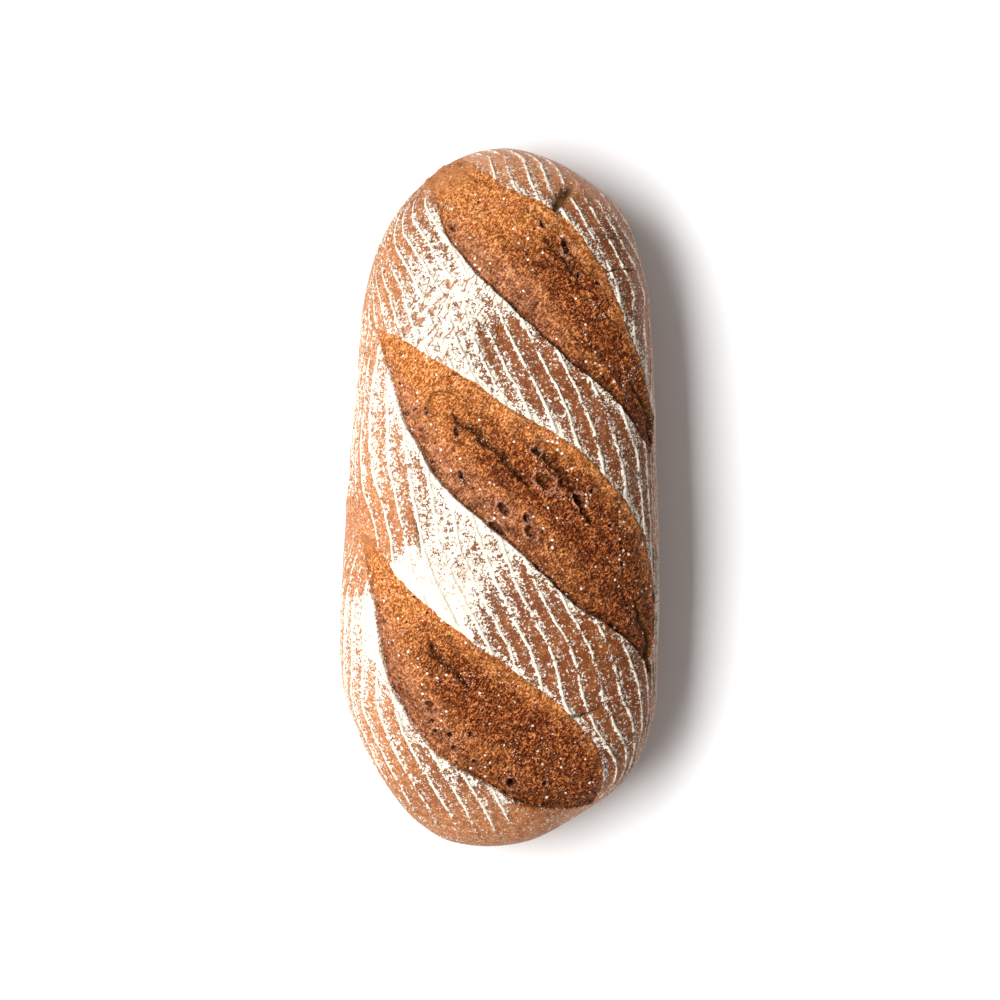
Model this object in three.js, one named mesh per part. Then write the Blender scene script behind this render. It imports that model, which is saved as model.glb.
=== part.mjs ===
// A long free-standing hearth loaf: one baked body with a flat sole, bulging sides that tuck in under it,
// a domed top, and three slanting slashes that opened in the oven.
// Millimetres, +Z up. The loaf lies along Y, and the origin is on the table under its middle.

import * as THREE from 'three';
import { mergeVertices } from 'three/addons/utils/BufferGeometryUtils.js';

// Driving dimensions
const LENGTH = 315;
const WIDTH = 144;
const HEIGHT = 86;
const WIDEST_HEIGHT = 36; // the sides bulge furthest at this height
const SHOULDER_HEIGHT = 70; // above it the sides climb towards this height before they turn over the top
const SHOULDER_SHARE = 0.6; // the top stays near crest height out to this share of the half width
const FLARE_SHARE = 0.93; // the side swings out to this share of the half width just above the sole
const SOLE_SHARE = 0.8; // the flat sole's outline, as a share of the widest one
const CREST_HALF_LENGTH = 72; // beyond this the crest rounds down to the ends
const CREST_FALL = 0.14; // how much lower the crest is at those two places, as a share of its height
const SLASH_DEPTH = 3.2; // how far an opened slash lies below the skin round it
const SLASH_SHOULDER = 8; // width of the slope from the skin down to that depth
const CORE_HEIGHT = 30; // slashes sink towards a line at this height in the middle of the loaf

// Fineness of the mesh
const ROUND_STEPS = 104; // steps round the outline
const SIDE_STEPS = 7; // steps up the side, from the sole to the widest line
const TOP_STEPS = 19; // steps over the top, from the widest line to the crest
const EDGE_SAMPLES = 180; // points that stand for a slash's outline when distances to it are taken

const CRUST_COLOUR = 0xb26a35;

// The widest outline, seen from above, from the head end round the left side to the tail end and back
// round the right side. Opposite points stand about level, so that half way between them is the crest.
const OUTLINE = [
  [2, 157.5], [-18, 153], [-36, 140], [-52, 119], [-61, 92], [-65, 45], [-69, -5], [-72, -55], [-70, -88],
  [-59, -116], [-43, -140], [-26, -153], [-6, -157.5], [15, -154], [37, -142], [58, -126], [69, -99], [72, -58],
  [71, 0], [70, 50], [66, 95], [56, 127], [42, 141], [22, 153],
];

// The opened slashes, seen from above: down the upper edge, then back up the lower edge
const SLASHES = [
  [
    [-19, 148], [-6, 143], [14, 131], [30, 120], [42, 108], [53, 84], [62, 60], [68, 32],
    [67, 20], [56, 35], [32, 58], [11, 77], [-8, 97], [-21, 112], [-28, 130],
  ],
  [
    [-56, 78], [-38, 67], [-15, 52], [9, 38], [35, 20], [52, 2], [63, -18], [69, -50],
    [67, -76], [47, -56], [24, -39], [1, -18], [-21, 2], [-36, 24], [-46, 46],
  ],
  [
    [-57, -16], [-45, -33], [-23, -54], [0, -71], [23, -87], [40, -104], [46, -122], [42, -136],
    [22, -138], [-1, -130], [-28, -111], [-46, -87], [-54, -60],
  ],
];

const closedCurve = (corners) => {
  const points = corners.map(([x, y]) => new THREE.Vector3(x, y, 0));
  return new THREE.CatmullRomCurve3(points, true, 'centripetal');
};

const outline = closedCurve(OUTLINE);
const slashes = SLASHES.map((corners) => closedCurve(corners).getSpacedPoints(EDGE_SAMPLES));

// The crest's point for one step round the outline: half way between the two sides, kept to the middle
// and short of the ends. Both sides take it from the same step, so that they meet there exactly.
const crestPoint = (step) => {
  const turn = Math.min(step, ROUND_STEPS - step) / ROUND_STEPS;
  const along = (outline.getPoint(turn).y + outline.getPoint(1 - turn).y) / 2;
  return new THREE.Vector3(0, THREE.MathUtils.clamp(along, -CREST_HALF_LENGTH, CREST_HALF_LENGTH), 0);
};

const isInside = (point, loop) => {
  let inside = false;
  loop.forEach((a, i) => {
    const b = loop[(i + 1) % loop.length];
    const crosses = (a.y > point.y) !== (b.y > point.y);
    if (crosses && point.x < a.x + ((b.x - a.x) * (point.y - a.y)) / (b.y - a.y)) {
      inside = !inside;
    }
  });
  return inside;
};

// How deep the nearest slash is under a point of the skin
const slashDepth = (point) => {
  const flat = new THREE.Vector3(point.x, point.y, 0);
  const slash = slashes.find((loop) => isInside(flat, loop));
  if (!slash) {
    return 0;
  }
  const toEdge = Math.min(...slash.map((edge) => edge.distanceTo(flat)));
  const onTop = THREE.MathUtils.smoothstep(point.z, WIDEST_HEIGHT, WIDEST_HEIGHT + 2 * SLASH_SHOULDER);
  return SLASH_DEPTH * onTop * THREE.MathUtils.smoothstep(toEdge, 0, SLASH_SHOULDER);
};

// Half of the loaf's cross-section, from the middle of the sole out, round the side and up to the crest
const crossSection = () => {
  const half = WIDTH / 2;
  const sole = SOLE_SHARE * half;
  const side = new THREE.CubicBezierCurve(
    new THREE.Vector2(sole, 0),
    new THREE.Vector2(half * FLARE_SHARE, 0),
    new THREE.Vector2(half, WIDEST_HEIGHT / 2),
    new THREE.Vector2(half, WIDEST_HEIGHT),
  );
  const top = new THREE.CubicBezierCurve(
    new THREE.Vector2(half, WIDEST_HEIGHT),
    new THREE.Vector2(half, SHOULDER_HEIGHT),
    new THREE.Vector2(half * SHOULDER_SHARE, HEIGHT),
    new THREE.Vector2(0, HEIGHT),
  );
  return [new THREE.Vector2(0, 0), ...side.getSpacedPoints(SIDE_STEPS), ...top.getSpacedPoints(TOP_STEPS).slice(1)];
};

// A lathed form is drawn out along Y: each of its radii becomes a line from the crest to the outline
const makeLoaf = () => {
  const lathed = new THREE.LatheGeometry(crossSection(), ROUND_STEPS);
  const { position, uv } = lathed.attributes;
  const skin = new THREE.Vector3();
  for (let i = 0; i < position.count; i += 1) {
    const step = Math.round(uv.getX(i) * ROUND_STEPS);
    const share = Math.hypot(position.getX(i), position.getZ(i)) / (WIDTH / 2);
    const middle = crestPoint(step);
    const fall = CREST_FALL * (middle.y / CREST_HALF_LENGTH) ** 2;
    skin.lerpVectors(middle, outline.getPoint((step / ROUND_STEPS) % 1), share);
    skin.z = position.getY(i) * (1 - fall);
    const core = middle.setZ(CORE_HEIGHT);
    const inward = core.sub(skin).normalize();
    skin.addScaledVector(inward, slashDepth(skin));
    position.setXYZ(i, skin.x, skin.y, skin.z);
  }
  lathed.deleteAttribute('normal');
  lathed.deleteAttribute('uv');
  const loaf = mergeVertices(lathed, 0.001);
  loaf.computeBoundingBox();
  const { min, max } = loaf.boundingBox;
  loaf.translate(-(min.x + max.x) / 2, -(min.y + max.y) / 2, -min.z);
  loaf.scale(WIDTH / (max.x - min.x), LENGTH / (max.y - min.y), HEIGHT / (max.z - min.z));
  loaf.computeVertexNormals();
  return loaf;
};

const crust = new THREE.MeshStandardMaterial({ color: CRUST_COLOUR, roughness: 0.8, metalness: 0 });
const loaf = new THREE.Mesh(makeLoaf(), crust);
loaf.name = 'loaf';

const hearthLoaf = new THREE.Group();
hearthLoaf.add(loaf);

export default hearthLoaf;
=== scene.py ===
"""The looks of a long hearth loaf: floured skin with basket rings, three opened slashes, and loose flour."""

import math

import bpy
import numpy as np
from bpy.props import FloatProperty, FloatVectorProperty, IntProperty, PointerProperty
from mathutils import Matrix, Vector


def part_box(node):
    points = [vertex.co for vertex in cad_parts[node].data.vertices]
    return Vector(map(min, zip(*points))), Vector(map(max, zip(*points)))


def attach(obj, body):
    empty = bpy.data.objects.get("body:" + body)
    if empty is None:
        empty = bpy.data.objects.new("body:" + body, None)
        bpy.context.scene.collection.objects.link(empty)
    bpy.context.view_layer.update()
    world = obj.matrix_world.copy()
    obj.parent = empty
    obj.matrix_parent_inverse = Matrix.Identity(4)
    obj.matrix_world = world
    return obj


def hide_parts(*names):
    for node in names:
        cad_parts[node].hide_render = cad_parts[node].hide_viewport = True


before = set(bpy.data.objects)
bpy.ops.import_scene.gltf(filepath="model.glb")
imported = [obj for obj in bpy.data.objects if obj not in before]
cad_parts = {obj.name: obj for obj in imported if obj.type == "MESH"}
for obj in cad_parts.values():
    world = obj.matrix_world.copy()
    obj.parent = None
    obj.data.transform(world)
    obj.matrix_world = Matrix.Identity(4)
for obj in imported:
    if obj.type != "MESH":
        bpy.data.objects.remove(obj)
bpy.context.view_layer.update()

bl_info = {
    "name": "Hearth Loaf",
    "version": (1, 0, 0),
    "blender": (4, 5, 0),
    "location": "3D View > Sidebar > Loaf",
    "description": "Builds a floured, slashed hearth loaf around its solid",
    "category": "Object",
}

MM = 0.001
CAD_NODE = "loaf"
BODY = "root"
LOW, HIGH = (np.array(corner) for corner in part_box(CAD_NODE))
SOLE_STEP = 4  # the sole's grid is this many times as coarse as the skin's
CURVE_STEPS = 40  # points between two corners of a curve, before they are spread evenly
BEZIER_POINTS = 160
CLOUD_CELLS = 64  # cells along each side of the soft noise's square

# The basket's rings and the flour, in millimetres
STRIP_MIDDLES = [53, -49]  # along Y, of the two strips between the slashes
STRIP_REACH = 40  # how far from there a strip is turned
PULL_REACH = 13  # how far a slash's start pulls the rings
LEAN_FROM, LEAN_TO = 85, 155  # between these distances from the middle, the rings come to lean at the ends
HELD_RINGS = 22  # this far above the widest line the rings start to run down the side at an even pitch
FLOUR_BLEND = 6.5  # how far one flour level fades into the next
GOLDEN_START = 15  # how far bare golden skin reaches round a slash's start
OUTSIDE = -30.0  # how far inside a slash a place is that no slash comes near
LIP_REACH, RIM_REACH, CREASE_REACH = 3.0, 2.2, 1.2  # how far these fade out from a slash's edge

# Where things fade out down the side, from and to, in millimetres below the widest line
SLASHES_FADE = (16, -12)
FLOUR_FADES = (26, -2)
RINGS_FREE = (-4, -34)

# How far stretched grain is turned to lie along the slashes, or across them, in degrees
ALONG_SLASHES = 42
ACROSS_SLASHES = -58

# Shares of the way from the crest, over the widest line at 0.7, down to the sole's edge
RIM = 0.62
SIDE = 0.8
LOW_SIDE = 0.93
SOLE_EDGE = 1.0

# Sizes of the grain in the colours, in metres
SKIN_GRAIN = 0.0006
SKIN_PATCH = 0.0014
SLASH_SAND = 0.0005
SLASH_LUMPS = 0.0009
SLASH_THREADS = 0.0007
SLASH_STREAKS = 0.0011
SLASH_SHADE = 0.0055
HOLE_SPACING = 0.0031
CRUMB_SPACING = 0.0021
CRUST_GRAIN = 0.0009
CRUST_RELIEF = 0.0012
LUMP_GRAIN = 0.0005

# Sizes of the patches in which something comes and goes, in metres
RAGGED_RINGS = 0.0015
WORN_RINGS = 0.011
BENT_CRACKS = 1 / 300
BROKEN_CRACKS = 0.0042
PITTED_PLACES = 0.016
CRUMBY_PLACES = 0.013
FLOURY_PLACES = 0.012

# Widths and heights in the crust's trees, in metres
CRACK_WANDER = 0.0022  # how far a crack strays
SLASH_EDGE = 0.0009  # a slash's relief begins over this width
RAGGED_EDGE = 0.0016  # how much the edge of a slash's colour strays
EDGE_COLOURS = (-0.0001, 0.0003)  # where skin turns to slash, measured inwards from that edge
FLOURED_EDGE = (-0.004, -0.001)  # where flour thickens towards a slash
FLOUR_BUMP = 0.0001  # height of the grain on the loose flour
SEED_STEP = 0.37  # how far one step of the seed moves the noise along

ANY_TURN = (6.3, 6.3, 6.3)  # loose lumps lie turned by up to this about each axis, in radians

DULL = 0.1  # the specular level of crust and flour

# Curves seen from above, in millimetres. The widest outline runs from the head end round the left side to
# the tail end and back round the right side.
OUTLINE = [
    (2, 157.5), (-18, 153), (-36, 140), (-52, 119), (-61, 92), (-65, 45), (-69, -5), (-72, -55), (-70, -88),
    (-59, -116), (-43, -140), (-26, -153), (-6, -157.5), (15, -154), (37, -142), (58, -126), (69, -99),
    (72, -58), (71, 0), (70, 50), (66, 95), (56, 127), (42, 141), (22, 153),
]

# Each opened slash: its upper edge and its lower edge, both from its start on the left to its end
BLOOMS = [
    {
        "upper": [(-18, 153), (-8, 145), (4, 137), (24, 127), (36, 115), (45, 101), (53, 83), (60, 66),
                  (66, 49), (69, 34), (67, 19)],
        "lower": [(-34, 142), (-27, 128), (-22, 112), (-11, 99), (4, 85), (18, 71), (31, 58), (46, 47),
                  (58, 33), (67, 19)],
    },
    {
        "upper": [(-61, 80), (-56, 76), (-46, 71), (-31, 62), (-15, 52), (0, 42), (18, 31), (35, 20),
                  (52, 2), (61, -12), (66, -28), (69, -51), (67, -80)],
        "lower": [(-61, 80), (-54, 72), (-51, 63), (-45, 44), (-38, 26), (-27, 8), (-13, -6), (2, -18),
                  (17, -32), (32, -46), (47, -56), (62, -69), (67, -80)],
    },
    {
        "upper": [(-61, -15), (-56, -18), (-45, -33), (-30, -48), (-15, -60), (0, -71), (15, -81), (30, -94),
                  (41, -107), (45, -120), (45, -130), (42, -137)],
        "lower": [(-61, -15), (-57, -39), (-54, -60), (-50, -78), (-43, -92), (-29, -111), (-13, -122),
                  (2, -131), (17, -137), (33, -138), (42, -137)],
    },
]

# Tears in the crust, and cracks: points, width and depth, in millimetres
TEARS = [
    ([(33, 139), (29, 134), (26, 130), (24, 126)], 5.6, 3.4),
    ([(46, 115), (54, 115)], 1.0, 0.9),
    ([(46, 99), (53, 101), (60, 101)], 1.1, 1.2),
    ([(57, 52), (63, 44), (67, 34), (67, 24)], 2.0, 2.4),
    ([(60, -45), (63, -53), (66, -61), (66, -78)], 2.8, 3.0),
    ([(31, -96), (38, -95), (45, -92)], 1.3, 2.0),
    ([(12, -79), (18, -82)], 1.0, 1.2),
    ([(-38, -8), (-36, -14), (-35, -21), (-34, -26)], 1.0, 1.3),
    ([(-18, 44), (-23, 46), (-28, 46), (-31, 41), (-30, 37), (-26, 35)], 0.9, 1.2),
]

# Soft creases along the slashes, where the floor folded as it opened: points, width and depth, in millimetres
CREASES = [
    ([(20, 114), (30, 104), (37, 92)], 5, 1.2),
    ([(-21, 37), (-17, 32), (-10, 29), (-7, 24), (-1, 21), (5, 13), (13, 5)], 4.5, 2.6),
    ([(16, 22), (26, 12), (34, 2), (40, -12)], 6, 2.2),
    ([(-31, -62), (-28, -69), (-23, -74), (-18, -78), (-13, -84)], 3.6, 2.2),
]

# Open bubbles in the slashes, in millimetres: middle, length, width, turn (degrees down to the right), depth
BUBBLES = [
    ((19, 120), 4.6, 2.6, 60, 1.8),
    ((30, 110), 9.0, 5.0, 60, 2.3),
    ((43, 94), 2.8, 2.4, 0, 2.2),
    ((35, 98), 2.2, 2.0, 0, 1.9),
    ((10, 134), 2.3, 2.0, 0, 1.8),
    ((-21, 119), 5.2, 2.8, 50, 1.6),
    ((-10, 140), 2.6, 2.0, 0, 1.6),
    ((-37, 39), 2.6, 2.2, 0, 2.2),
    ((-41, 37), 3.6, 2.6, 30, 1.8),
    ((-32, 38), 4.4, 2.2, 80, 1.4),
    ((-34, 30), 2.6, 2.2, 0, 2.0),
    ((-19, 29), 5.2, 2.6, 80, 1.4),
    ((-30, 16), 2.6, 1.8, 60, 1.8),
    ((-17, 10), 4.6, 2.6, 80, 2.2),
    ((16, 20), 5.2, 3.6, 30, 1.9),
    ((20, 7), 9.6, 7.0, 40, 1.8),
    ((2, -5), 8.0, 4.2, 55, 1.8),
    ((-1, -14), 9.0, 5.2, 50, 2.0),
    ((12, -9), 5.2, 3.6, 60, 1.8),
    ((14, -15), 8.0, 4.6, 60, 1.9),
    ((35, -1), 7.0, 5.2, 40, 1.6),
    ((40, 3), 2.4, 2.0, 0, 2.0),
    ((48, -12), 2.2, 1.9, 0, 2.0),
    ((54, -29), 2.4, 2.0, 0, 2.0),
    ((-30, -92), 7.0, 4.4, 50, 1.8),
    ((-30, -98), 2.8, 2.4, 0, 2.2),
    ((-28, -103), 4.6, 3.0, 50, 1.6),
    ((-22, -104), 3.2, 2.8, 0, 3.2),
    ((-13, -104), 3.2, 2.8, 0, 1.6),
    ((-20, -110), 3.8, 2.8, 50, 1.9),
    ((-11, -116), 2.8, 2.4, 0, 2.2),
    ((6, -126), 6.4, 4.6, 30, 3.2),
    ((20, -126), 2.8, 2.4, 0, 2.2),
]

# How much of the skin the flour covers, from 0 to 1, at places in millimetres
FLOUR_LEVELS = [
    # head, and the strip along its right side
    ((5, 148), 0.25), ((18, 138), 0.45), ((31, 142), 0.06), ((44, 118), 0.35), ((53, 105), 0.28),
    ((58, 88), 0.25), ((65, 66), 0.3), ((68, 34), 0.42), ((-46, 138), 0.0), ((-27, 150), 0.0),
    ((-62, 92), 0.0), ((-58, 112), 0.0), ((-53, 128), 0.0), ((-36, 144), 0.0),
    # between the first two slashes
    ((-44, 128), 0.35), ((-51, 114), 0.3), ((-51, 96), 0.35), ((-35, 113), 0.55), ((-26, 118), 0.6),
    ((-30, 95), 0.85), ((-22, 86), 0.92), ((-46, 77), 0.6), ((-30, 73), 0.92), ((-8, 86), 0.8),
    ((-17, 64), 0.85), ((0, 69), 0.3), ((0, 47), 0.6), ((18, 49), 0.2), ((20, 32), 0.6),
    ((26, 56), 0.2), ((40, 34), 0.3), ((53, 19), 0.3), ((62, 3), 0.35), ((-61, 72), 0.3),
    ((-64, 66), 0.35),
    # between the second and the third
    ((-66, 21), 0.4), ((-65, 43), 0.4), ((-54, 43), 0.7), ((-46, 21), 0.6), ((-35, 8), 0.55),
    ((-44, -8), 0.4), ((-26, -1), 0.8), ((-24, -25), 0.85), ((-32, -34), 1.0), ((-17, -41), 1.0),
    ((-8, -27), 0.7), ((0, -45), 0.5), ((11, -64), 0.35), ((20, -45), 0.35), ((26, -62), 0.22),
    ((40, -84), 0.3), ((44, -62), 0.15), ((56, -85), 0.25), ((63, -109), 0.35), ((54, -129), 0.2),
    ((41, -143), 0.05), ((67, -1), 0.42), ((62, -21), 0.3), ((68, -55), 0.4), ((67, -91), 0.3),
    ((-66, -28), 0.2), ((-63, -17), 0.03),
    # tail
    ((-69, -60), 0.45), ((-59, -59), 1.0), ((-63, -84), 0.55), ((-54, -108), 0.4), ((-44, -130), 0.15),
    ((-31, -144), 0.08), ((-9, -150), 0.03), ((14, -148), 0.04), ((-44, -98), 0.5), ((-26, -122), 0.45),
    ((-9, -136), 0.4),
]


# Thick flour that dried into cracks: middle, reach in millimetres, and how much
DRIED = [((-20, 80), 19, 1.0), ((-22, -28), 14, 0.45)]


# ---------------------------------------------------------------------------------------------------
# Curves and fields
# ---------------------------------------------------------------------------------------------------


def rounded_line(corners, closed=False, spacing=1.0):
    """Even points, in millimetres, along a smooth curve through the corners."""
    points = np.array(corners, float)
    if closed:
        points = np.vstack([points[-1], points, points[:2]])
    else:
        points = np.vstack([2 * points[0] - points[1], points, 2 * points[-1] - points[-2]])
    knots = np.concatenate([[0], np.cumsum(np.sqrt(np.linalg.norm(np.diff(points, axis=0), axis=1)))])
    pieces = []
    for i in range(1, len(points) - 2):
        t = np.linspace(knots[i], knots[i + 1], CURVE_STEPS, endpoint=False)[:, None]
        a, b, c = (
            points[k] + (points[k + 1] - points[k]) * (t - knots[k]) / (knots[k + 1] - knots[k])
            for k in (i - 1, i, i + 1)
        )
        d = a + (b - a) * (t - knots[i - 1]) / (knots[i + 1] - knots[i - 1])
        e = b + (c - b) * (t - knots[i]) / (knots[i + 2] - knots[i])
        pieces.append(d + (e - d) * (t - knots[i]) / (knots[i + 1] - knots[i]))
    line = np.vstack([*pieces, points[-2:-1]])
    length = np.concatenate([[0], np.cumsum(np.linalg.norm(np.diff(line, axis=0), axis=1))])
    even = np.linspace(0, length[-1], max(int(length[-1] / spacing), 2) + 1)
    return np.stack([np.interp(even, length, line[:, k]) for k in (0, 1)], axis=1)


def ramp(value, start, end):
    """0 before start, 1 after end, and smooth between them; start may be the larger."""
    t = np.clip((value - start) / (end - start), 0, 1)
    return t * t * (3 - 2 * t)


def cloud(x, y, size, seed):
    """Soft noise from -1 to 1 with lumps about size across."""
    cells = np.random.default_rng(seed).uniform(-1, 1, (CLOUD_CELLS, CLOUD_CELLS))
    u, v = x / size + CLOUD_CELLS / 2, y / size + CLOUD_CELLS / 2
    i, j = np.floor(u).astype(int), np.floor(v).astype(int)
    s, t = u - i, v - j
    s, t = s * s * (3 - 2 * s), t * t * (3 - 2 * t)
    i, j = i % (CLOUD_CELLS - 1), j % (CLOUD_CELLS - 1)
    near = cells[i, j] * (1 - s) + cells[i + 1, j] * s
    far = cells[i, j + 1] * (1 - s) + cells[i + 1, j + 1] * s
    return near * (1 - t) + far * t


def wander(x, y, seed):
    """How far a slash's edge strays from its curve, in millimetres."""
    return 0.7 * cloud(x, y, 9, seed) + 0.3 * cloud(x, y, 2.6, seed + 1)


def distance_to(line, x, y, reach):
    """Distance from each place to a line, at most reach, and how far along it the nearest point is."""
    distance = np.full(x.shape, float(reach))
    along = np.zeros(x.shape)
    low, high = line.min(0) - reach, line.max(0) + reach
    near = np.flatnonzero((x > low[0]) & (x < high[0]) & (y > low[1]) & (y < high[1]))
    px, py = x[near], y[near]
    best = np.full(len(near), float(reach))
    place = np.zeros(len(near))
    for k in range(len(line) - 1):
        (ax, ay), (bx, by) = line[k], line[k + 1]
        close = (np.abs(px - ax) < best + 2) & (np.abs(py - ay) < best + 2)
        qx, qy = px[close] - ax, py[close] - ay
        ux, uy = bx - ax, by - ay
        t = np.clip((qx * ux + qy * uy) / (ux * ux + uy * uy), 0, 1)
        gap = np.hypot(qx - t * ux, qy - t * uy)
        better = gap < best[close]
        index = np.flatnonzero(close)[better]
        best[index] = gap[better]
        place[index] = (k + t[better]) / (len(line) - 1)
    distance[near] = best
    along[near] = place
    return distance, along


def inside(loop, x, y):
    """Whether each place lies inside a closed loop."""
    result = np.zeros(x.shape, bool)
    low, high = loop.min(0), loop.max(0)
    near = np.flatnonzero((x > low[0]) & (x < high[0]) & (y > low[1]) & (y < high[1]))
    px, py = x[near], y[near]
    within = np.zeros(len(near), bool)
    for (ax, ay), (bx, by) in zip(loop, np.roll(loop, -1, axis=0)):
        if ay != by:
            crosses = (ay > py) != (by > py)
            within ^= crosses & (px < ax + (bx - ax) * (py - ay) / (by - ay))
    result[near] = within
    return result


def bezier(a, b, c, d):
    """Points along a curve from a to d that b and c pull at."""
    t = np.linspace(0, 1, BEZIER_POINTS)[:, None]
    a, b, c, d = (np.array(p, float) for p in (a, b, c, d))
    return a * (1 - t) ** 3 + 3 * b * t * (1 - t) ** 2 + 3 * c * t * t * (1 - t) + d * t**3


# ---------------------------------------------------------------------------------------------------
# The body: where the skin lies before anything is cut or printed into it
# ---------------------------------------------------------------------------------------------------


class Body:
    """The smooth loaf, in millimetres: lines run from a crest in the middle out to the widest outline."""

    def __init__(self, shape):
        self.half_width = (HIGH[0] - LOW[0]) / 2 / MM
        self.height = (HIGH[2] - LOW[2]) / MM
        self.crest = shape.crest_half_length / MM
        self.fall = shape.crest_fall
        self.shoulder_y = shape.corner_at / MM
        widest = shape.widest_height / MM
        half = self.half_width
        top = bezier(
            (0, self.height),
            (half * shape.shoulder_share, self.height),
            (half, shape.shoulder_height / MM),
            (half, widest),
        )
        side = bezier(
            (half, widest),
            (half, widest / 2),
            (half * shape.flare_share, 0),
            (half * shape.sole_share, 0),
        )
        section = np.vstack([top, side[1:]])
        steps = np.linalg.norm(np.diff(section, axis=0), axis=1)
        self.section_reach = np.concatenate([[0], np.cumsum(steps)])
        self.section_share = section[:, 0] / half
        self.section_height = section[:, 1]
        self.reach_widest = self.section_reach[len(top) - 1]
        self.reach_sole = self.section_reach[-1]
        self.reach_held = self.reach_widest - HELD_RINGS
        self.top_share = self.section_share[: len(top)]
        self.top_reach = self.section_reach[: len(top)]
        outline = rounded_line(OUTLINE, closed=True, spacing=0.5)
        self.left = outline[: len(outline) // 2][::-1]
        self.right = outline[len(outline) // 2:]
        self.ends = {}
        for end in (1, -1):
            from_crest = outline - (0, end * self.crest)
            angle = np.arctan2(from_crest[:, 0], end * from_crest[:, 1])
            order = np.argsort(angle)
            self.ends[end] = (angle[order], np.linalg.norm(from_crest, axis=1)[order])

    def side_x(self, y, right):
        """Where the widest outline runs beside the crest, on the left or on the right."""
        right_x = np.interp(y, self.right[:, 1], self.right[:, 0])
        left_x = np.interp(y, self.left[:, 1], self.left[:, 0])
        return np.where(right, right_x, left_x)

    def corner_angle(self, end, right):
        """Direction, from an end of the crest, of the place where a side turns into that end."""
        y = end * self.shoulder_y
        x = self.side_x(np.array(y), right)
        return math.atan2(float(x), self.shoulder_y - self.crest)

    def end_radius(self, end, angle):
        """Distance from an end of the crest to the outline, in a direction."""
        angles, radii = self.ends[end]
        return np.interp(angle, angles, radii)

    def place(self, crest_y, rim_x, rim_y, reach):
        """Position of the skin on the line from the crest to the rim, reach along the section."""
        share = np.interp(reach, self.section_reach, self.section_share)
        height = np.interp(reach, self.section_reach, self.section_height)
        fall = self.fall * (crest_y / self.crest) ** 2
        return share * rim_x, crest_y + share * (rim_y - crest_y), height * (1 - fall)

    def held_place(self, x, y, reach):
        """The place itself high on the skin; lower down, the one above it where the rings are still free."""
        share = np.maximum(np.interp(reach, self.section_reach, self.section_share), 0.05)
        held = np.interp(self.reach_held, self.section_reach, self.section_share)
        slope = self.shoulder_y - self.crest
        level = y / (self.crest + share * slope)
        end = np.sign(y) * self.crest
        along_side = level * (self.crest + held * slope)
        held_y = np.where(np.abs(level) <= 1, along_side, end + (y - end) * held / share)
        low = reach > self.reach_held
        return np.where(low, x * held / share, x), np.where(low, held_y, y)

    def reach_of(self, x, y):
        """How far along the section the top skin over each place is, from the crest."""
        right = x > 0
        share = np.abs(x) / np.abs(self.side_x(y, right))
        slope = self.shoulder_y - self.crest
        for _ in range(6):
            level = np.clip(y / (self.crest + np.clip(share, 0, 1) * slope), -1, 1)
            share = np.abs(x) / np.abs(self.side_x(level * self.shoulder_y, right))
        for end in (1, -1):
            vx, vy = x, end * y - self.crest
            angle = np.arctan2(vx, vy)
            left_angle, right_angle = self.corner_angle(end, False), self.corner_angle(end, True)
            beyond = (vy > 0) & (angle > left_angle) & (angle < right_angle)
            share = np.where(beyond, np.hypot(vx, vy) / self.end_radius(end, angle), share)
        return np.interp(share, self.top_share, self.top_reach) + np.maximum(share - 1, 0) * self.half_width


def skin_sheet(body, spacing, side_spacing):
    """A grid laid over the whole skin, ring inside ring, from the sole's edge up to the crest."""
    top_rings = round(body.reach_widest / spacing)
    side_rings = round((body.reach_sole - body.reach_widest) / side_spacing)
    across = SOLE_STEP * round((top_rings + side_rings) / SOLE_STEP)
    top_rings = across - side_rings
    along = across + SOLE_STEP * round(body.crest / spacing / SOLE_STEP)
    i, j = np.meshgrid(np.arange(-across, across + 1), np.arange(-along, along + 1))
    ring = np.minimum(across - np.abs(i), along - np.abs(j))
    half_i, half_j = across - ring, along - ring
    reaches = np.concatenate([
        np.linspace(0, body.reach_widest, top_rings + 1),
        np.linspace(body.reach_widest, body.reach_sole, side_rings + 1)[1:],
    ])
    reach = reaches[half_i]
    on_side = np.abs(i) == half_i
    right = i > 0
    level = j / half_j
    crest_y = np.where(on_side, level * body.crest, np.sign(j) * body.crest)
    rim_y = level * body.shoulder_y
    rim_x = body.side_x(rim_y, right)
    turn = np.where(half_i > 0, i / np.maximum(half_i, 1), 0)
    for end in (1, -1):
        ends = ~on_side & (np.sign(j) == end)
        left_angle, right_angle = body.corner_angle(end, False), body.corner_angle(end, True)
        angle = left_angle + (right_angle - left_angle) * (turn + 1) / 2
        radius = body.end_radius(end, angle)
        rim_x = np.where(ends, radius * np.sin(angle), rim_x)
        rim_y = np.where(ends, end * (body.crest + radius * np.cos(angle)), rim_y)
    x, y, z = body.place(crest_y, rim_x, rim_y, reach)
    return x, y, z, reach


def sole_sheet(x, y):
    """A coarser flat grid that closes the skin underneath."""
    rows, columns = x.shape
    half_i, half_j = (columns - 1) // 2, (rows - 1) // 2
    i, j = np.meshgrid(np.arange(-half_i, half_i + 1, SOLE_STEP), np.arange(-half_j, half_j + 1, SOLE_STEP))
    ring = np.minimum(half_i - np.abs(i), half_j - np.abs(j))
    shrink = ring / half_i
    scale_i = np.where(half_i - ring > 0, half_i / np.maximum(half_i - ring, 1), 0)
    scale_j = half_j / (half_j - ring)
    edge_i = np.clip(np.round(i * scale_i), -half_i, half_i).astype(int) + half_i
    edge_j = np.clip(np.round(j * scale_j), -half_j, half_j).astype(int) + half_j
    edge_x, edge_y = x[edge_j, edge_i], y[edge_j, edge_i]
    return edge_x * (1 - shrink), edge_y * (1 - shrink / 2)


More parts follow.
